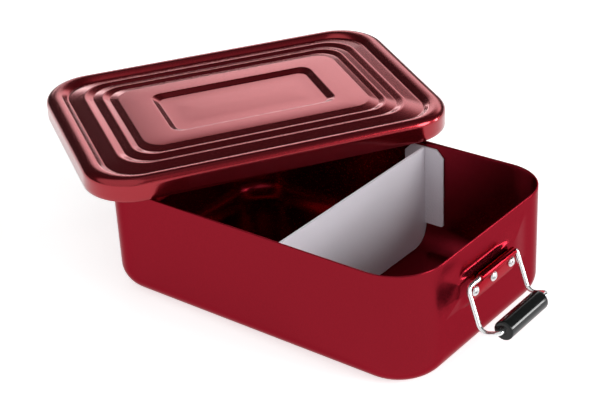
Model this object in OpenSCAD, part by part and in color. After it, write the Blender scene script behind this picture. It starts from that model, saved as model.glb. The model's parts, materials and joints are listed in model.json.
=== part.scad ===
// Aluminium lunch box with a loose stepped lid, a sliding divider and two wire bail clips.
// Millimetres. Origin: centre of the box's underside. +X towards the right clip, +Z up.

/* [Box] */
// Outside length of the box
box_l = 230; // [200:1:260]
// Outside width of the box
box_w = 151; // [130:1:170]
// Outside height of the box
box_h = 71; // [66:1:80]
// Radius of the four upright corners
corner_r = 29; // [24:1:36]
// Radius where the walls turn into the floor
floor_r = 14; // [8:1:18]
// Thickness of the pressed sheet
sheet_t = 0.8; // [0.6:0.1:1.0]

/* [Lid] */
// Height of the lid's rim above the lower edge of its skirt
lid_h = 14.2; // [13:0.1:18]
// Radius of the shoulder between skirt and top
shoulder_r = 5.5; // [4:0.5:8]
// Side clearance between the skirt and the box when the lid is on
lid_gap = 0.3; // [0.3:0.05:0.8]
// Centre of the lid as it lies across the open box, along X
lid_x = -88.2; // [-95:0.1:-80]
// Centre of the lid as it lies across the open box, along Y
lid_y = 35.8; // [30:0.1:42]
// Turn of the lid about the vertical
lid_turn = 58.4; // [52:0.1:62]
// Tilt of the lid: it lies on its near long edge, with the far one propped up
lid_tilt = 3.2; // [2.6:0.1:4]

/* [Divider] */
// Place of the divider along the box
divider_x = 24; // [-60:1:60]
// Thickness of the divider's plastic sheet
divider_t = 1.4; // [1.2:0.1:2.0]
// Distance from the box's rim down to the divider's top edge
divider_drop = 3.5; // [2:0.5:10]
// Width of the two end flanges, along the box
flange_w = 28; // [16:1:36]

/* [Clips] */
// Distance of the bail's pivot from the end wall
pivot_out = 5.2; // [5:0.1:6]
// Height of the bail's pivot above the table
pivot_z = 50.1; // [49:0.1:50.3]
// Diameter of the bail's wire
wire_d = 2.8; // [2.4:0.1:3.0]
// Distance between the centre lines of the bail's legs
leg_span = 51; // [49:0.5:54]
// Length of a leg from the pivot to its bend
leg_len = 26; // [24:0.5:27]
// Lean of the legs away from the wall, from straight down
leg_lean = 24.3; // [20:0.1:28]
// Distance of the grip's axis from the pivot's axis
grip_reach = 29.8; // [29:0.1:32]
// Direction from the pivot to the grip, from straight down
grip_lean = 48.5; // [44:0.5:52]
// Sideways place of the bail in its barrel
bail_shift = -5; // [-5:0.5:5]
// Sideways slant of the legs from the barrel down to the grip
bail_skew = -3; // [-4:0.5:4]
// Sideways place of the grip between the arms
grip_shift = -2.8; // [-4:0.1:4]
// Diameter of the grip
grip_d = 11.6; // [9:0.1:12]
// Length of the grip
grip_l = 39; // [36:1:41]

/* [Rivets] */
// Distance between neighbouring rivets
rivet_pitch = 19; // [17:0.5:20]
// Height of the rivets above the table
rivet_z = 41.8; // [40:0.1:42.5]
// Diameter of a rivet's shank
rivet_d = 3.2; // [2.8:0.1:4]
// Diameter of a rivet's domed head
head_d = 6; // [5:0.1:6.4]

/* [Hidden] */

$fn = 96;
// Overlap that makes cutting shapes pass right through
cut = 1;
// Gap between pieces that move apart
part_gap = 0.3;
// Radial running clearance of the wire in its barrel and of the grip on the wire
run_gap = 0.05;

end_x = box_l / 2;
wire_r = wire_d / 2;
// Radius of the wire's slimmer pieces and of its knuckles, and how far it goes into the grip
slim_r = wire_r - 0.04;
knuckle_r = wire_r + 0.1;
grip_depth = 14;
grip_round = 1.2;

// Boss pressed outwards in each end wall, which carries the bracket
boss_out = 2.2;
boss_foot_w = 95;
boss_top_w = 67;
boss_foot_z = [33, 57.6];
boss_top_z = [36, 55];
boss_x = end_x + boss_out;

// Bracket: a riveted plate whose upper edge is rolled into a barrel round the wire
plate_t = 1;
plate_w = 46;
plate_z = [36.5, 45.5];
barrel_l = 35.6;
barrel_r = wire_r + run_gap + plate_t;
neck_drop = 0.5;
pivot_x = end_x + pivot_out;
head_h = 1.9;
tail_d = 5.6;
tail_t = 0.8;
rivets = [-1, 0, 1];

// Lid outline, and the grooves and the dish pressed into its top: [inset on long side, on short side]
lid_l = box_l + 2 * (lid_gap + sheet_t);
lid_w = box_w + 2 * (lid_gap + sheet_t);
lid_corner_r = corner_r + lid_gap + sheet_t;
lid_lift_gap = 0.3;
groove_edge = [[7, 10.5], [20.5, 25], [29.5, 35.5]];
groove_w = [4, 3, 3];
groove_drop = [2.6, 1.8, 1.5];
groove_corner_r = [23, 18, 15];
dish_edge = [50, 62.5];
dish_drop = 2.2;
dish_corner_r = 7;

// A rectangle with four round corners, centred on the origin
module round_rect(l, w, r) {
    square([l - 2 * r, w], center = true);
    square([l, w - 2 * r], center = true);
    for (x = [-1, 1], y = [-1, 1])
        translate([x * (l / 2 - r), y * (w / 2 - r)])
            circle(r = r);
}

// A quarter of a disc, standing on the X axis and turned outwards along +X
module quarter_disc(r) {
    intersection() {
        translate([0, r]) circle(r = r);
        square([r, r]);
    }
}

// A tub's outer form: round upright corners and a round edge all round its floor
module tub_form(l, w, h, r, edge_r) {
    translate([0, 0, edge_r])
        linear_extrude(h - edge_r)
            round_rect(l, w, r);
    linear_extrude(edge_r)
        round_rect(l - 2 * edge_r, w - 2 * edge_r, r - edge_r);
    for (x = [-1, 1], y = [-1, 1])
        translate([x * (l / 2 - r), y * (w / 2 - r), 0])
            rotate_extrude()
                translate([r - edge_r, 0])
                    quarter_disc(edge_r);
    for (side = [0, 180])
        rotate([0, 0, side]) {
            straight_edge(w - 2 * r, l / 2 - edge_r, edge_r);
            rotate([0, 0, 90])
                straight_edge(l - 2 * r, w / 2 - edge_r, edge_r);
        }
}

// The straight part of a tub's round floor edge, along Y at distance x
module straight_edge(length, x, r) {
    translate([x, length / 2, 0])
        rotate([90, 0, 0])
            linear_extrude(length)
                quarter_disc(r);
}

// The boss in the right end wall, between planes x = from and x = end_x + boss_out
module boss_form(from) {
    intersection() {
        linear_extrude(box_h)
            polygon([[from, -boss_foot_w / 2], [end_x, -boss_foot_w / 2],
                     [boss_x, -boss_top_w / 2], [boss_x, boss_top_w / 2],
                     [end_x, boss_foot_w / 2], [from, boss_foot_w / 2]]);
        translate([0, box_w / 2, 0])
            rotate([90, 0, 0])
                linear_extrude(box_w)
                    polygon([[from, boss_foot_z[0]], [end_x, boss_foot_z[0]],
                             [boss_x, boss_top_z[0]], [boss_x, boss_top_z[1]],
                             [end_x, boss_foot_z[1]], [from, boss_foot_z[1]]]);
    }
}

// Runs its children for the right end and, turned half round, for the left end
module both_ends() {
    children();
    rotate([0, 0, 180]) children();
}

// Cylinders along X through all rivet places of the right end
module rivet_holes() {
    for (i = rivets)
        translate([end_x - 5 * sheet_t, i * rivet_pitch, rivet_z])
            rotate([0, 90, 0])
                cylinder(d = rivet_d, h = 10 * sheet_t);
}

module box_body() {
    color([0.54, 0.10, 0.15])
        difference() {
            union() {
                tub_form(box_l, box_w, box_h, corner_r, floor_r);
                both_ends() boss_form(end_x - sheet_t / 2);
            }
            translate([0, 0, sheet_t])
                tub_form(box_l - 2 * sheet_t, box_w - 2 * sheet_t, box_h,
                         corner_r - sheet_t, floor_r - sheet_t);
            both_ends()
                translate([-sheet_t, 0, 0])
                    boss_form(end_x - sheet_t);
            both_ends() rivet_holes();
        }
}

// A flat ring, or without a width the whole area, at the given insets from the lid's outline
module lid_ring(edge, r, width) {
    difference() {
        round_rect(lid_l - 2 * edge[1], lid_w - 2 * edge[0], r);
        if (width > 0)
            round_rect(lid_l - 2 * (edge[1] + width), lid_w - 2 * (edge[0] + width), r - width);
    }
}

// The lid as a closed form with every outline moved inwards by t
module lid_form(t) {
    difference() {
        translate([0, 0, lid_h - t])
            mirror([0, 0, 1])
                tub_form(lid_l - 2 * t, lid_w - 2 * t, lid_h, lid_corner_r - t, shoulder_r - t);
        for (i = [0 : len(groove_w) - 1])
            translate([0, 0, lid_h - t - groove_drop[i]])
                linear_extrude(2 * groove_drop[i])
                    lid_ring(groove_edge[i] - [t, t], groove_corner_r[i] + t, groove_w[i] + 2 * t);
        translate([0, 0, lid_h - t - dish_drop])
            linear_extrude(2 * dish_drop)
                lid_ring(dish_edge - [t, t], dish_corner_r + t, 0);
    }
}

// The lid in its own frame: centred, with the skirt's lower edge at z = 0
module lid_shell() {
    difference() {
        lid_form(0);
        lid_form(sheet_t);
        translate([0, 0, -lid_h])
            linear_extrude(lid_h + cut)
                round_rect(lid_l - 2 * sheet_t, lid_w - 2 * sheet_t, lid_corner_r - sheet_t);
    }
}

module lid() {
    color([0.50, 0.16, 0.18])
        translate([lid_x, lid_y, box_h + lid_lift_gap])
            rotate([0, 0, lid_turn])
                translate([0, -lid_w / 2, 0])
                    rotate([lid_tilt, 0, 0])
                        translate([0, lid_w / 2, 0])
                            lid_shell();
}

// Outline of the divider's web in the YZ plane: it follows the box's round floor edge
module web_outline() {
    web_w = box_w - 2 * (sheet_t + part_gap);
    foot_z = sheet_t + part_gap;
    foot_r = floor_r - sheet_t - part_gap;
    top_z = box_h - divider_drop;
    translate([-web_w / 2, foot_z + foot_r])
        square([web_w, top_z - foot_z - foot_r]);
    translate([-web_w / 2 + foot_r, foot_z])
        square([web_w - 2 * foot_r, foot_r]);
    for (side = [-1, 1])
        translate([side * (web_w / 2 - foot_r), foot_z + foot_r])
            circle(r = foot_r);
}

// One end flange of the divider, flat on the long wall at +Y, with cut top corners
module flange() {
    chamfer = 5;
    top_z = box_h - divider_drop;
    outer_y = box_w / 2 - sheet_t - part_gap;
    translate([0, outer_y, 0])
        rotate([90, 0, 0])
            linear_extrude(divider_t)
                polygon([[-flange_w / 2, floor_r + 1], [flange_w / 2, floor_r + 1],
                         [flange_w / 2, top_z - chamfer], [flange_w / 2 - chamfer, top_z],
                         [-flange_w / 2 + chamfer, top_z], [-flange_w / 2, top_z - chamfer]]);
}

module divider() {
    color([0.86, 0.86, 0.90])
        translate([divider_x, 0, 0]) {
            translate([-divider_t / 2, 0, 0])
                rotate([90, 0, 90])
                    linear_extrude(divider_t)
                        web_outline();
            flange();
            rotate([0, 0, 180]) flange();
        }
}

// Profile of the bracket in the XZ plane: flat plate, sloping neck and rolled barrel
module bracket_profile() {
    plate_x = boss_x + plate_t;
    neck_z = rivet_z + head_d / 2 + part_gap;
    translate([boss_x, plate_z[0]])
        square([plate_t, pivot_z - plate_z[0]]);
    polygon([[boss_x, neck_z], [plate_x, neck_z],
             [pivot_x + barrel_r, pivot_z - neck_drop], [pivot_x, pivot_z],
             [boss_x, pivot_z]]);
    translate([pivot_x, pivot_z])
        circle(r = barrel_r);
}

module bracket() {
    difference() {
        union() {
            translate([0, barrel_l / 2, 0])
                rotate([90, 0, 0])
                    linear_extrude(barrel_l)
                        bracket_profile();
            translate([boss_x, -plate_w / 2, plate_z[0]])
                cube([plate_t, plate_w, plate_z[1] - plate_z[0]]);
        }
        translate([pivot_x, -barrel_l / 2 - cut, pivot_z])
            rotate([-90, 0, 0])
                cylinder(r = wire_r + run_gap, h = barrel_l + 2 * cut);
        rivet_holes();
    }
}

module bracket_right() {
    color([0.50, 0.09, 0.13]) bracket();
}

module bracket_left() {
    color([0.50, 0.09, 0.13]) rotate([0, 0, 180]) bracket();
}

// Rivet at place i: domed head outside, shank through plate and wall, flat tail inside
module rivet(i) {
    dome_r = (head_h * head_h + head_d * head_d / 4) / (2 * head_h);
    plate_x = boss_x + plate_t;
    translate([plate_x, i * rivet_pitch, rivet_z])
        rotate([0, 90, 0]) {
            intersection() {
                translate([0, 0, head_h - dome_r]) sphere(r = dome_r);
                cylinder(d = head_d + cut, h = head_h + cut);
            }
            translate([0, 0, -plate_t - sheet_t])
                cylinder(d = rivet_d, h = plate_t + sheet_t);
            translate([0, 0, -plate_t - sheet_t - tail_t])
                cylinder(d = tail_d, h = tail_t);
        }
}

module rivet_at(i, turn) {
    color([0.80, 0.81, 0.82]) rotate([0, 0, turn]) rivet(i);
}

module rivet_right_1() { rivet_at(-1, 0); }
module rivet_right_2() { rivet_at(0, 0); }
module rivet_right_3() { rivet_at(1, 0); }
module rivet_left_1() { rivet_at(-1, 180); }
module rivet_left_2() { rivet_at(0, 180); }
module rivet_left_3() { rivet_at(1, 180); }

function unit(v) = v / norm(v);

// Round wire along the points p, with a knuckle a little thicker than the wire at each bend.
// Every other piece is a little slimmer, so that neighbours meet in clean edges.
module wire(p) {
    for (i = [0 : len(p) - 2]) {
        d = unit(p[i + 1] - p[i]);
        translate(p[i])
            rotate([0, acos(d[2]), atan2(d[1], d[0])])
                cylinder(r = i % 2 == 1 ? wire_r : slim_r, h = norm(p[i + 1] - p[i]));
    }
    for (i = [1 : len(p) - 2])
        translate(p[i])
            sphere(r = knuckle_r);
}

// The bail: a straight axle in the barrel, two legs, two arms and two ends in the grip
module bail() {
    half = leg_span / 2;
    end_y = grip_l / 2 - grip_depth;
    leg = [pivot_x + leg_len * sin(leg_lean), pivot_z - leg_len * cos(leg_lean)];
    grip = [pivot_x + grip_reach * sin(grip_lean), pivot_z - grip_reach * cos(grip_lean)];
    near = bail_skew - half;
    far = bail_skew + half;
    translate([0, bail_shift, 0])
        wire([[grip[0], bail_skew - end_y, grip[1]], [grip[0], near, grip[1]],
              [leg[0], near, leg[1]], [pivot_x, -half, pivot_z],
              [pivot_x, half, pivot_z], [leg[0], far, leg[1]],
              [grip[0], far, grip[1]], [grip[0], bail_skew + end_y, grip[1]]]);
}

module bail_right() {
    color([0.82, 0.83, 0.85]) bail();
}

module bail_left() {
    color([0.82, 0.83, 0.85]) rotate([0, 0, 180]) bail();
}

// Half profile of the grip, with round shoulders at both ends
module grip_profile() {
    r = grip_d / 2;
    bore_r = wire_r + run_gap;
    intersection() {
        round_rect(grip_d, grip_l, grip_round);
        translate([bore_r, -grip_l / 2])
            square([r - bore_r, grip_l]);
    }
}

module grip() {
    translate([pivot_x + grip_reach * sin(grip_lean), bail_shift + bail_skew + grip_shift,
               pivot_z - grip_reach * cos(grip_lean)])
        rotate([90, 0, 0])
            rotate_extrude()
                grip_profile();
}

module grip_right() {
    color([0.16, 0.16, 0.17]) grip();
}

module grip_left() {
    color([0.16, 0.16, 0.17]) rotate([0, 0, 180]) grip();
}

box_body();
lid();
divider();
bracket_right();
bracket_left();
rivet_right_1();
rivet_right_2();
rivet_right_3();
rivet_left_1();
rivet_left_2();
rivet_left_3();
bail_right();
bail_left();
grip_right();
grip_left();
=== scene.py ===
"""Looks of the pressed aluminium lunch box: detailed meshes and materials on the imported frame."""
import json
import math

import bpy
from mathutils import Matrix, Vector


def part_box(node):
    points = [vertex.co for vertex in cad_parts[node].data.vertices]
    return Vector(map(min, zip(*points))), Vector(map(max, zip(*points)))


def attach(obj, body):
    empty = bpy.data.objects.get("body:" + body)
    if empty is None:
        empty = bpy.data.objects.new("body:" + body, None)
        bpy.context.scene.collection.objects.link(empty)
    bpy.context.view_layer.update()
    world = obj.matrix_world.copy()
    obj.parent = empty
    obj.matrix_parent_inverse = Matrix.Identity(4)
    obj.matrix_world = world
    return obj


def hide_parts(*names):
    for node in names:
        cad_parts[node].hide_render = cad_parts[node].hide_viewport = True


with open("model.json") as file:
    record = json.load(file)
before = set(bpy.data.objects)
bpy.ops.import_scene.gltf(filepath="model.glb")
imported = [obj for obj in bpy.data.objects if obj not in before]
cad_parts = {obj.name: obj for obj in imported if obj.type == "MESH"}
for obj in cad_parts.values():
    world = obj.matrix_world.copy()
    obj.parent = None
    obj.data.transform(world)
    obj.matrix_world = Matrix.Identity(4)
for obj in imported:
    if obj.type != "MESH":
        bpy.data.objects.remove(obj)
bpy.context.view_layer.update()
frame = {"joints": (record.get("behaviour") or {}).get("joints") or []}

MM = 0.001
JOINTS = {j["name"]: j for j in frame["joints"]}

# ---------------------------------------------------------------- sizes, in millimetres
BOX_LOW, BOX_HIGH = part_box("box_body")
BOX_W = (BOX_HIGH.y - BOX_LOW.y) / MM
BOX_H = BOX_HIGH.z / MM
# How far the boss in each end wall stands out
BOSS_OUT = 2.2
BOX_L = (BOX_HIGH.x - BOX_LOW.x) / MM - 2 * BOSS_OUT
CORNER_R = 29.0
FLOOR_R = 14.0
SHEET_T = 0.8

# How much longer and wider the lid is than the box, and its turn and tilt in degrees
LID_MORE = 2.2
LID_L = BOX_L + LID_MORE
LID_W = BOX_W + LID_MORE
LID_H = 14.2
LID_TURN = 58.4
LID_TILT = 3.2

PLATE_T = 1.0
PLATE_W = 46.0
PLATE_Z = (36.5, 45.5)
PLATE_MID_Z = (PLATE_Z[0] + PLATE_Z[1]) / 2
BARREL_L = 35.6
BARREL_R = 2.45
RIVET_PITCH = 19.0
RIVET_Z = 41.8
RIVET_SHANK_R = 1.6
RIVET_TAIL_R = 2.75
WIRE_R = 1.4
# The bail's legs: their distance, length, lean in degrees and sideways slant, and the pivot's middle
LEG_SPAN = 51.0
LEG_LEN = 26.0
LEG_LEAN = 24.3
LEG_SKEW = -3.0
BAIL_Y = -5.0
GRIP_R = 5.8
GRIP_L = 39.0
# How deep each end of the wire reaches into the grip
GRIP_DEPTH = 14.0
DIVIDER_T = 1.4
DIVIDER_GAP = 0.3
FLANGE_W = 28.0
FLANGE_CHAMFER = 5.0


# ---------------------------------------------------------------- mesh helpers
def add_mesh(name, verts, faces, material, body, nodes, sharp=38, matrix=None):
    """A smooth-shaded mesh piece, given in millimetres, that rides on a body and stands for CAD nodes."""
    mesh = bpy.data.meshes.new(name)
    mesh.from_pydata([Vector(v) * MM for v in verts], [], faces)
    if matrix is not None:
        mesh.transform(matrix)
    mesh.validate()
    mesh.shade_smooth()
    mesh.set_sharp_from_angle(angle=math.radians(sharp))
    mesh.materials.append(material)
    piece = bpy.data.objects.new(name, mesh)
    bpy.context.scene.collection.objects.link(piece)
    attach(piece, body)
    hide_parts(*nodes)


def fillet(points, step=12.0):
    """A 2-D path whose corners, each given as (a, b, radius), are rounded with arcs."""
    out = [Vector(points[0][:2])]
    for i in range(1, len(points) - 1):
        prev, here, after = (Vector(points[k][:2]) for k in (i - 1, i, i + 1))
        radius = points[i][2]
        u, v = (prev - here).normalized(), (after - here).normalized()
        angle = math.acos(max(-1.0, min(1.0, u.dot(v))))
        if radius <= 0 or angle > math.radians(179):
            out.append(here)
            continue
        back = radius / math.tan(angle / 2)
        centre = here + (u + v).normalized() * (radius / math.sin(angle / 2))
        start, end = here + u * back - centre, here + v * back - centre
        turn = math.atan2(start.x * end.y - start.y * end.x, start.dot(end))
        count = max(2, int(abs(math.degrees(turn)) / step) + 1)
        for k in range(count + 1):
            a = turn * k / count
            out.append(centre + Vector((start.x * math.cos(a) - start.y * math.sin(a),
                                        start.x * math.sin(a) + start.y * math.cos(a))))
    out.append(Vector(points[-1][:2]))
    return out


def ring(half_x, half_y, r, arc=14, side_x=24, side_y=24):
    """The points of a rounded rectangle, the same number for every size."""
    points = []
    corners = ((1, 1, 0), (-1, 1, 90), (-1, -1, 180), (1, -1, 270))
    for index, (sx, sy, a0) in enumerate(corners):
        cx, cy = sx * (half_x - r), sy * (half_y - r)
        for k in range(arc + 1):
            a = math.radians(a0 + 90 * k / arc)
            points.append((cx + r * math.cos(a), cy + r * math.sin(a)))
        nx, ny, n0 = corners[(index + 1) % 4]
        a = math.radians(n0)
        end = (nx * (half_x - r) + r * math.cos(a), ny * (half_y - r) + r * math.sin(a))
        count = side_x if index % 2 == 0 else side_y
        begin = points[-1]
        for k in range(1, count):
            t = k / count
            points.append((begin[0] * (1 - t) + end[0] * t, begin[1] * (1 - t) + end[1] * t))
    return points


def loft(rings):
    """Vertices and faces of rings, each a list of 3-D points, with both ends filled."""
    n = len(rings[0])
    verts = [p for r in rings for p in r]
    faces = []
    for i in range(len(rings) - 1):
        for k in range(n):
            a, b = i * n + k, i * n + (k + 1) % n
            faces.append((a, b, b + n, a + n))
    faces.append(tuple(range(n - 1, -1, -1)))
    last = (len(rings) - 1) * n
    faces.append(tuple(range(last, last + n)))
    return verts, faces


def lookup(table, x):
    """Straight-line interpolation in a table of (x, y) pairs."""
    if x <= table[0][0]:
        return table[0][1]
    for (x0, y0), (x1, y1) in zip(table, table[1:]):
        if x <= x1:
            return y0 + (y1 - y0) * (x - x0) / (x1 - x0)
    return table[-1][1]


def smooth(x, low, high):
    """A smooth step from 0 at low to 1 at high, falling where high is the smaller."""
    t = max(0.0, min(1.0, (x - low) / (high - low)))
    return t * t * (3 - 2 * t)


def revolve(profile, centre, count=56):
    """A solid of revolution about the Y direction through centre; profile is (y, radius) pairs."""
    rings = []
    for y, r in profile:
        rings.append([(centre[0] + r * math.cos(2 * math.pi * k / count), centre[1] + y,
                       centre[2] + r * math.sin(2 * math.pi * k / count)) for k in range(count)])
    return loft(rings)


def fillet3(points, radii, step=9.0):
    """A 3-D path whose inner corners are rounded with arcs."""
    out = [Vector(points[0])]
    for i in range(1, len(points) - 1):
        here = Vector(points[i])
        u = (Vector(points[i - 1]) - here).normalized()
        v = (Vector(points[i + 1]) - here).normalized()
        angle = u.angle(v)
        r = radii[i]
        back = r / math.tan(angle / 2)
        centre = here + (u + v).normalized() * (r / math.sin(angle / 2))
        start = here + u * back - centre
        axis = u.cross(v)
        turn = math.pi - angle
        count = max(3, int(math.degrees(turn) / step))
        for k in range(count + 1):
            spin = Matrix.Rotation(-turn * k / count, 3, axis)
            out.append(centre + spin @ start)
    out.append(Vector(points[-1]))
    return out


def sweep(path, r, count=20):
    """A round tube along a 3-D path, without twist."""
    rings = []
    normal = None
    for i, p in enumerate(path):
        tangent = (path[min(i + 1, len(path) - 1)] - path[max(i - 1, 0)]).normalized()
        if normal is None:
            normal = tangent.orthogonal().normalized()
        normal = (normal - tangent * normal.dot(tangent)).normalized()
        side = tangent.cross(normal)
        rings.append([p + (normal * math.cos(2 * math.pi * k / count)
                           + side * math.sin(2 * math.pi * k / count)) * r for k in range(count)])
    return loft(rings)


# ---------------------------------------------------------------- materials
def material(name, base, tone, metallic, rough, grain, bump, mottle=9.0, **constants):
    """A principled material with mottled colour, mottled roughness and a fine grain bump.

    base and tone are two near colours that the mottling mixes, rough is a range, grain is the
    number of grains per metre and bump is the height of the grain in metres.
    """
    mat = bpy.data.materials.new(name)
    mat.use_nodes = True
    nodes, links = mat.node_tree.nodes, mat.node_tree.links
    shader = nodes["Principled BSDF"]
    shader.inputs["Metallic"].default_value = metallic
    for key, value in constants.items():
        shader.inputs[key.replace("_", " ")].default_value = value
    coord = nodes.new("ShaderNodeTexCoord")
    cloud = nodes.new("ShaderNodeTexNoise")
    cloud.inputs["Scale"].default_value = mottle
    cloud.inputs["Detail"].default_value = 5.0
    links.new(coord.outputs["Object"], cloud.inputs["Vector"])
    mix = nodes.new("ShaderNodeMix")
    mix.data_type = "RGBA"
    mix.inputs["A"].default_value = (*base, 1)
    mix.inputs["B"].default_value = (*tone, 1)
    links.new(cloud.outputs["Fac"], mix.inputs["Factor"])
    links.new(mix.outputs["Result"], shader.inputs["Base Color"])
    fine = nodes.new("ShaderNodeTexNoise")
    fine.inputs["Scale"].default_value = grain
    fine.inputs["Detail"].default_value = 3.0
    links.new(coord.outputs["Object"], fine.inputs["Vector"])
    spread = nodes.new("ShaderNodeMapRange")
    spread.inputs["From Min"].default_value = 0.3
    spread.inputs["From Max"].default_value = 0.7
    spread.inputs["To Min"].default_value = rough[0]
    spread.inputs["To Max"].default_value = rough[1]
    links.new(fine.outputs["Fac"], spread.inputs["Value"])
    links.new(spread.outputs["Result"], shader.inputs["Roughness"])
    height = nodes.new("ShaderNodeBump")
    height.inputs["Strength"].default_value = 1.0
    height.inputs["Distance"].default_value = bump
    links.new(fine.outputs["Fac"], height.inputs["Height"])
    links.new(height.outputs["Normal"], shader.inputs["Normal"])
    return mat


RED_SHEET = material("red_sheet", (0.232, 0.0104, 0.0195), (0.213, 0.0094, 0.0176), 1.0, (0.21, 0.28),
                     1400, 0.000006, Specular_Tint=(0.8, 0.5, 0.52, 1))
RED_LID = material("red_lid", (0.33, 0.011, 0.021), (0.30, 0.010, 0.018), 0.92, (0.20, 0.26),
                   1600, 0.000002, Coat_Weight=0.58, Coat_Roughness=0.14)
RED_BRACKET = material("red_bracket", (0.38, 0.009, 0.020), (0.35, 0.008, 0.018), 1.0, (0.18, 0.24),
                       1500, 0.000006, Coat_Weight=0.06, Coat_Roughness=0.12,
                       Specular_Tint=(0.8, 0.5, 0.52, 1))
FROSTED = material("frosted_plastic", (0.93, 0.89, 0.95), (0.89, 0.85, 0.92), 0.0, (0.38, 0.48),
                   700, 0.00002, Transmission_Weight=0.3, IOR=1.46)
RIVET_METAL = material("rivet_metal", (0.80, 0.80, 0.81), (0.70, 0.71, 0.72), 0.92, (0.25, 0.35),
                       1800, 0.00001, mottle=220.0)
WIRE_METAL = material("bright_wire", (0.84, 0.85, 0.85), (0.76, 0.77, 0.78), 0.95, (0.18, 0.25),
                      2200, 0.0000008, mottle=120.0)
GRIP_PLASTIC = material("grip_plastic", (0.007, 0.008, 0.008), (0.010, 0.011, 0.011), 0.0,
                        (0.10, 0.15), 900, 0.000004, mottle=60.0, IOR=1.36)

# ---------------------------------------------------------------- box body
# The boss's near end: where its slope starts, how wide the slope is, and how it slants in below a height
NEAR_REACH, NEAR_SLOPE, NEAR_SLANT, NEAR_SLANT_Z = 47.5, 14, 0.35, 44
# Its softer far end, and the stretch over which both ends turn into narrower wings
FAR_END = (42, 22)
WING = (22, 33)
# The lower slope's foot and crest in the middle, and how much higher they are in the wings
FOOT_Z, CREST_Z, WING_FOOT, WING_CREST = 33, 36.5, 1.7, 7.2
# The upper slope: (height, share of the boss) in the middle, and a gentle one that takes over at each end
BOSS_TOP = [(53.9, 1.0), (55.9, 0.11), (56.5, 0.0)]
GENTLE_TOP_Z, GENTLE_SLOPE = 62.5, 10
FAN_NEAR, FAN_FAR = (-25, -34), (6, 22)


def boss(y, z):
    """How far the right end wall is pressed out at (y, z), from 0 to 1; y < 0 has the crisper side."""
    if y < 0:
        across = min((NEAR_REACH + y + NEAR_SLANT * min(0.0, z - NEAR_SLANT_Z)) / NEAR_SLOPE, 1.0)
    else:
        across = smooth(y, *FAR_END)
    aside = smooth(abs(y), *WING)
    foot, crest = FOOT_Z + WING_FOOT * aside, CREST_Z + WING_CREST * aside
    below = min((z - foot) / (crest - foot), 1.0)
    fan = smooth(y, *(FAN_NEAR if y < 0 else FAN_FAR))
    gentle = max(0.0, min(1.0, (GENTLE_TOP_Z - z) / GENTLE_SLOPE))
    above = lookup(BOSS_TOP, z) * (1 - fan) + gentle * fan
    return max(0.0, min(across, below, above))


def box_body():
    # heights of the wall's rows of points, closest together over the boss
    wall_z = [20, 26, 30] + [32 + 0.6 * k for k in range(36)]
    wall_z += [53.5, 53.9, 54.4, 54.9, 55.4, 55.9, 56.5, 57.1, 57.7, 58.3, 58.9, 59.4, 60, 61, 63, 66, 69]
    outer = fillet([(44, 0, 0), (0, 0, FLOOR_R), (0, BOX_H, 0)], 7)[:-1]
    outer += [Vector((0, z)) for z in wall_z]
    outer += [Vector((0, BOX_H - 0.25)), Vector((0.12, BOX_H - 0.06)), Vector((0.4, BOX_H)),
              Vector((SHEET_T - 0.12, BOX_H - 0.06)), Vector((SHEET_T, BOX_H - 0.25))]
    outer += [Vector((SHEET_T, z)) for z in reversed(wall_z)]
    outer += fillet([(SHEET_T, BOX_H, 0), (SHEET_T, SHEET_T, FLOOR_R - SHEET_T), (44, SHEET_T, 0)], 7)[1:]
    rings = []
    for d, z in outer:
        r = max(CORNER_R - d, 3.0)
        points = []
        for x, y in ring(BOX_L / 2 - d, BOX_W / 2 - d, r, side_x=20, side_y=88):
            if abs(x) > BOX_L / 2 - SHEET_T - 0.01:
                x += math.copysign(BOSS_OUT * boss(math.copysign(y, x * y), z), x)
            points.append((x, y, z))
        rings.append(points)
    verts, faces = loft(rings)
    add_mesh("box_shell", verts, faces, RED_SHEET, "box", ["box_body"])


# ---------------------------------------------------------------- lid
# Corners of the pressed top along a long side: (inset, height above the bead's crown, fillet)
LID_TOP = [(9.4, -3.1, 1.0), (19.1, -0.6, 2.8), (22.3, -2.1, 0.9), (28.1, -0.5, 2.4),
           (31.0, -1.9, 0.8), (36.7, -0.6, 2.4), (49.4, -0.3, 1.8), (53.6, -2.4, 1.8), (64, -2.22, 60)]
LID_MIDDLE = (75, -2.12)
# Inset along a long side against inset along a short side, and against corner radius
SHORT_INSET = [(0, 0), (5, 6.2), (9.4, 13.6), (19.1, 23.6), (22.3, 28.2), (28.1, 34.0), (31.0, 37.8),
               (36.7, 42.4), (49.4, 62.0), (53.6, 66.2), (76, 88)]
CORNER_OF = [(0, 30.1), (5, 26), (9.4, 22.2), (19.1, 19), (22.3, 17.5), (28.1, 14.5), (31.0, 13.5),
             (36.7, 12), (49.4, 7.5), (53.6, 5.5), (70, 5), (76, 0.8)]
BEAD_R = 5.0


def lid_profile():
    """The outer profile, from the skirt's lower edge up and inwards, as (inset, height)."""
    skirt = [Vector((0, 0.35 + k * (LID_H - BEAD_R - 0.35) / 4)) for k in range(5)]
    bead = [Vector((BEAD_R - BEAD_R * math.cos(math.radians(a)),
                    LID_H - BEAD_R + BEAD_R * math.sin(math.radians(a)))) for a in range(6, 121, 6)]
    start = bead[-1]
    top = fillet([(start.x, start.y, 0)] + [(d, LID_H + z, r) for d, z, r in LID_TOP]
                 + [(LID_MIDDLE[0], LID_H + LID_MIDDLE[1], 0)], 10)
    return skirt + bead + top[1:]


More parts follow.
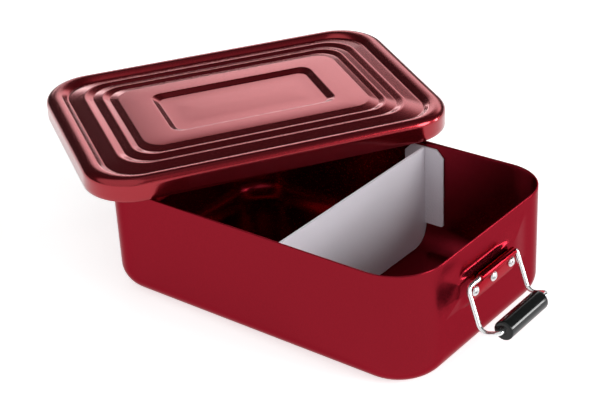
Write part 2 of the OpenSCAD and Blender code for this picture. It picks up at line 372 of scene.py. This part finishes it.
def lid():
    outer = lid_profile()
    inner = []
    for i, p in enumerate(outer):
        tangent = (outer[min(i + 1, len(outer) - 1)] - outer[max(i - 1, 0)]).normalized()
        inner.append(p + Vector((tangent.y, -tangent.x)) * SHEET_T)
    hem = [Vector((SHEET_T, 0.3)), Vector((SHEET_T - 0.2, 0.05)), Vector((0.2, 0.05))]
    profile = list(reversed(inner)) + hem + outer
    rings = []
    for d, z in profile:
        short, r = lookup(SHORT_INSET, d), lookup(CORNER_OF, d)
        rings.append([(x, y, z) for x, y in ring(LID_L / 2 - short, LID_W / 2 - d, r, arc=20,
                                                 side_x=30, side_y=20)])
    verts, faces = loft(rings)
    turn = Matrix.Rotation(math.radians(LID_TURN), 4, "Z") @ Matrix.Rotation(math.radians(LID_TILT), 4, "X")
    low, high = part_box("lid")
    # the turned skirt's box gives the place: its middle in X and Y, its lowest point in Z
    placed = [turn @ Vector(v) * MM for v in verts]
    mins = [min(p[k] for p in placed) for k in range(3)]
    maxs = [max(p[k] for p in placed) for k in range(3)]
    shift = Vector(((low.x + high.x - mins[0] - maxs[0]) / 2,
                    (low.y + high.y - mins[1] - maxs[1]) / 2, low.z - mins[2]))
    add_mesh("lid_shell", verts, faces, RED_LID, "lid", ["lid"], sharp=50,
             matrix=Matrix.Translation(shift) @ turn)


# ---------------------------------------------------------------- divider
def divider():
    low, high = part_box("divider")
    x0 = (low.x + high.x) / 2 / MM
    top = high.z / MM
    outer_y = high.y / MM
    foot = low.z / MM
    foot_r = FLOOR_R - SHEET_T - DIVIDER_GAP
    half = DIVIDER_T / 2
    outline = fillet([(0, foot, 0), (outer_y, foot, foot_r), (outer_y, top - 0.4, 0), (outer_y - 0.4, top, 0),
                      (0, top, 0)], 8)
    outline = [(p.x, p.y) for p in outline] + [(-p.x, p.y) for p in reversed(outline[1:-1])]
    verts, faces = loft([[(x0 + dx, y * s, top - (top - z) * s) for y, z in outline]
                         for dx, s in ((-half, 0.998), (-half + 0.2, 1), (half - 0.2, 1), (half, 0.998))])
    add_mesh("divider_web", verts, faces, FROSTED, "divider", ["divider"])
    reach = FLANGE_W / 2
    corners = [(-reach, FLOOR_R + 1, 1.5), (reach, FLOOR_R + 1, 1.5),
               (reach, top - FLANGE_CHAMFER, 1.2), (reach - FLANGE_CHAMFER, top, 1.2),
               (-reach + FLANGE_CHAMFER, top, 1.2), (-reach, top - FLANGE_CHAMFER, 1.2)]
    seam = ((corners[0][0] + corners[-1][0]) / 2, (corners[0][1] + corners[-1][1]) / 2, 0)
    shape = fillet([seam] + corners + [seam], 15)[:-1]
    for side, name in ((1, "divider_flange_back"), (-1, "divider_flange_front")):
        inner_y = side * (outer_y - DIVIDER_T)
        rings = [[(x0 + p.x * s, y, p.y) for p in shape]
                 for y, s in ((inner_y, 0.99), (inner_y + side * 0.2, 1),
                              (side * outer_y - side * 0.2, 1), (side * outer_y, 0.99))]
        verts, faces = loft(rings)
        add_mesh(name, verts, faces, FROSTED, "divider", ["divider"])


# ---------------------------------------------------------------- clips
def clip(side):
    """Bracket, rivets, bail and grip of one end; the left end is the right one turned half round."""
    half_turn = None if side == "right" else Matrix.Rotation(math.pi, 4, "Z")
    pivot = JOINTS[f"bail_{side}_swing"]["pos_m"]
    spin = JOINTS[f"grip_{side}_spin"]["pos_m"]
    sign = 1 if side == "right" else -1
    px, pz = sign * pivot[0] / MM, pivot[2] / MM
    gx, gy, gz = sign * spin[0] / MM, sign * spin[1] / MM, spin[2] / MM
    plate_x = BOX_L / 2 + BOSS_OUT

    # rolled barrel and the neck that joins it to the plate
    neck = fillet([(plate_x, PLATE_Z[1] - 0.6, 0), (plate_x + PLATE_T - 0.08, PLATE_Z[1] - 0.6, 0),
                   (plate_x + PLATE_T - 0.08, PLATE_Z[1] + 0.2, 0.6), (px + BARREL_R * 0.985, pz - 0.9, 1.2)]
                  + [(px + BARREL_R * math.cos(math.radians(a)), pz + BARREL_R * math.sin(math.radians(a)), 0)
                     for a in range(0, 181, 12)]
                  + [(plate_x, pz - 1.2, 0)], 12)
    outline = [(p.x, p.y) for p in neck]
    tip = BARREL_L / 2
    ends = [(-tip, 0.985), (-tip + 0.25, 1), (tip - 0.25, 1), (tip, 0.985)]
    verts, faces = loft([[(px + (x - px) * s, y, pz + (z - pz) * s) for x, z in outline] for y, s in ends])
    add_mesh(f"barrel_{side}", verts, faces, RED_BRACKET, "box", [f"bracket_{side}"],
             sharp=50, matrix=half_turn)
    corners = [(-PLATE_W / 2, PLATE_Z[0], 3.5), (PLATE_W / 2, PLATE_Z[0], 3.5),
               (PLATE_W / 2, PLATE_Z[1], 1.5), (-PLATE_W / 2, PLATE_Z[1], 1.5)]
    seam = (-PLATE_W / 2, PLATE_MID_Z, 0)
    shape = fillet([seam] + corners + [seam], 10)[:-1]
    verts, faces = loft([[(x, p.x * s, PLATE_MID_Z + (p.y - PLATE_MID_Z) * s) for p in shape]
                         for x, s in ((plate_x, 1), (plate_x + PLATE_T - 0.25, 1),
                                      (plate_x + PLATE_T - 0.07, 0.997), (plate_x + PLATE_T, 0.985))])
    add_mesh(f"plate_{side}", verts, faces, RED_BRACKET, "box", [f"bracket_{side}"],
             matrix=half_turn)

    # rivets: domed head with a small flat brim, and the flat tail inside the wall
    head = [(0, 3.0), (0.25, 3.0), (0.6, 2.8), (1.05, 2.35), (1.45, 1.7), (1.72, 0.95), (1.82, 0.3)]
    inside = -PLATE_T - SHEET_T
    tail = [(inside - 0.75, 2.3), (inside - 0.6, RIVET_TAIL_R), (inside, RIVET_TAIL_R),
            (inside, RIVET_SHANK_R), (0, RIVET_SHANK_R)]
    for i in (-1, 0, 1):
        at = (plate_x + PLATE_T, i * RIVET_PITCH, RIVET_Z)
        rings = []
        for dx, r in tail + head:
            rings.append([(at[0] + dx, at[1] + r * math.cos(2 * math.pi * k / 32),
                           at[2] + r * math.sin(2 * math.pi * k / 32)) for k in range(32)])
        verts, faces = loft(rings)
        add_mesh(f"rivet_head_{side}_{i + 2}", verts, faces, RIVET_METAL, "box",
                 [f"rivet_{side}_{i + 2}"], sharp=60, matrix=half_turn)

    # bail: one bent wire
    half = LEG_SPAN / 2
    lean = math.radians(LEG_LEAN)
    lx, lz = px + LEG_LEN * math.sin(lean), pz - LEG_LEN * math.cos(lean)
    end_y = GRIP_L / 2 - GRIP_DEPTH
    low_y = BAIL_Y + LEG_SKEW
    corners = [(gx, low_y - end_y, gz), (gx, low_y - half, gz), (lx, low_y - half, lz),
               (px, BAIL_Y - half, pz), (px, BAIL_Y + half, pz),
               (lx, low_y + half, lz), (gx, low_y + half, gz), (gx, low_y + end_y, gz)]
    path = fillet3(corners, [0, 3.0, 6.0, 4.5, 2.4, 6.0, 3.0, 0])
    verts, faces = sweep(path, WIRE_R)
    add_mesh(f"bail_wire_{side}", verts, faces, WIRE_METAL, f"bail_{side}",
             [f"bail_{side}"], sharp=60, matrix=half_turn)

    # grip: round plastic roller with flat ends, rounded edges and a small hole round the wire
    h = GRIP_L / 2
    profile = []
    for y, r in [(0.5, 1.45), (0.15, 1.75), (0.02, 2.4), (0, 4.7), (0.06, 5.1), (0.22, 5.42), (0.5, 5.66),
                 (0.85, 5.77), (1.3, GRIP_R), (5, GRIP_R), (12, GRIP_R)]:
        profile.append((-h + y, r))
    profile = profile + [(-y, r) for y, r in reversed(profile)]
    verts, faces = revolve(profile, (gx, gy, gz))
    add_mesh(f"grip_roller_{side}", verts, faces, GRIP_PLASTIC, f"grip_{side}",
             [f"grip_{side}"], sharp=50, matrix=half_turn)


box_body()
lid()
divider()
clip("right")
clip("left")

# ---------------------------------------------------------------- floor
# Half the floor's side, and how far it lies under the box so that the two don't share a plane, in metres
FLOOR_HALF = 6
FLOOR_DROP = 0.0002

floor_mesh = bpy.data.meshes.new("floor")
floor_mesh.from_pydata([(-FLOOR_HALF, -FLOOR_HALF, 0), (FLOOR_HALF, -FLOOR_HALF, 0),
                        (FLOOR_HALF, FLOOR_HALF, 0), (-FLOOR_HALF, FLOOR_HALF, 0)], [], [(0, 1, 2, 3)])
floor = bpy.data.objects.new("floor", floor_mesh)
bpy.context.scene.collection.objects.link(floor)
floor.location.z = -FLOOR_DROP
pale = bpy.data.materials.new("pale_floor")
pale.use_nodes = True
shader = pale.node_tree.nodes["Principled BSDF"]
shader.inputs["Base Color"].default_value = (0.86, 0.86, 0.86, 1)
shader.inputs["Roughness"].default_value = 0.9
shader.inputs["Specular IOR Level"].default_value = 0.1
shader.inputs["Emission Color"].default_value = (1, 1, 1, 1)
shader.inputs["Emission Strength"].default_value = 0.66
floor_mesh.materials.append(pale)

# ---------------------------------------------------------------- camera
# Degrees, with azimuth 0 looking along +Y; then the camera's place along its own axes, in millimetres
AZIMUTH, ELEVATION, ROLL = 39.12, 27.619, -3.123
DISTANCE, SIDE, UP = 904.1, -15.83, 47.67
# Sensor width in millimetres, image width and focal length in pixels
SENSOR, IMAGE_W, FOCAL_PX = 36, 600, 1476.8

az, el, roll = (math.radians(v) for v in (AZIMUTH, ELEVATION, ROLL))
back = Vector((math.sin(az) * math.cos(el), -math.cos(az) * math.cos(el), math.sin(el)))
right = Vector((0, 0, 1)).cross(back).normalized()
up = back.cross(right)
x_axis = right * math.cos(roll) + up * math.sin(roll)
y_axis = up * math.cos(roll) - right * math.sin(roll)
camera = bpy.data.objects.new("camera", bpy.data.cameras.new("camera"))
bpy.context.scene.collection.objects.link(camera)
turn = Matrix((x_axis, y_axis, back)).transposed()
place = (x_axis * SIDE + y_axis * UP + back * DISTANCE) * MM
camera.matrix_world = Matrix.Translation(place) @ turn.to_4x4()
camera.data.lens = FOCAL_PX / IMAGE_W * SENSOR
camera.data.sensor_width = SENSOR
camera.data.clip_start = 0.01
bpy.context.scene.camera = camera

# ---------------------------------------------------------------- light
AMBIENT = 0.05

world = bpy.data.worlds.new("studio")
bpy.context.scene.world = world
world.use_nodes = True
wn, wl = world.node_tree.nodes, world.node_tree.links
background = wn["Background"]
coord = wn.new("ShaderNodeTexCoord")
split = wn.new("ShaderNodeSeparateXYZ")
wl.new(coord.outputs["Generated"], split.inputs["Vector"])


def math_node(operation, a, b=None, c=None):
    node = wn.new("ShaderNodeMath")
    node.operation = operation
    for socket, value in zip(node.inputs, (a, b, c)):
        if value is None:
            continue
        if isinstance(value, (int, float)):
            socket.default_value = value
        else:
            wl.new(value, socket)
    return node.outputs[0]


def step_node(value, low, high):
    node = wn.new("ShaderNodeMapRange")
    node.interpolation_type = "SMOOTHSTEP"
    node.inputs["From Min"].default_value = low
    node.inputs["From Max"].default_value = high
    wl.new(value, node.inputs["Value"])
    return node.outputs["Result"]


def softbox(turn_from, turn_to, edge, low, high, lift):
    """A bright patch of sky between two turns, soft by edge, and two elevations, soft by lift, in degrees."""
    angle = math_node("ARCTAN2", split.outputs["Y"], split.outputs["X"])
    tilt = math_node("ARCSINE", split.outputs["Z"])
    r = math.radians
    sides = math_node("MULTIPLY", step_node(angle, r(turn_from - edge), r(turn_from + edge)),
                      step_node(math_node("MULTIPLY", angle, -1.0), r(-turn_to - edge), r(-turn_to + edge)))
    ends = math_node("MULTIPLY", step_node(tilt, r(low - lift), r(low + lift)),
                     step_node(math_node("MULTIPLY", tilt, -1.0), r(-high - lift), r(-high + lift)))
    return math_node("MULTIPLY", sides, ends)


# Patches of sky and their strengths; turns are from +X towards +Y, and the camera stands at about -51
patches = [
    # behind the box, for the flats of the lid
    (softbox(82, 137, 9, 22, 34, 4), 2.1),
    # lower behind the box, for the lines of the lid's relief
    (softbox(122, 150, 6, 14, 19, 2), 4.5),
    # faint, high on the camera's side
    (softbox(-130, 20, 14, 34, 66, 12), 0.08),
    # faint, overhead
    (softbox(-170, 170, 8, 74, 100, 5), 0.25),
    # low on the right
    (softbox(-40, 10, 8, 2, 12, 3), 1.1),
    # a narrow bright strip, low behind on the right
    (softbox(41, 50, 2, -1, 14, 2), 17.0),
]
total = None
for patch, strength in patches:
    part = math_node("MULTIPLY", patch, strength)
    total = part if total is None else math_node("ADD", total, part)
total = math_node("ADD", total, AMBIENT)
wl.new(total, background.inputs["Strength"])
background.inputs["Color"].default_value = (1, 1, 1, 1)


def sun(name, turn_deg, lift_deg, strength, spread):
    light = bpy.data.lights.new(name, "SUN")
    light.energy = strength
    light.angle = math.radians(spread)
    lamp = bpy.data.objects.new(name, light)
    bpy.context.scene.collection.objects.link(lamp)
    t, e = math.radians(turn_deg), math.radians(lift_deg)
    lamp.rotation_euler = Vector((math.cos(t) * math.cos(e), math.sin(t) * math.cos(e),
                                  math.sin(e))).to_track_quat("Z", "Y").to_euler()


sun("key", -80, 40, 1.2, 90)
sun("fill", 12, 22, 2.0, 30)

bpy.context.scene.view_settings.view_transform = "Standard"
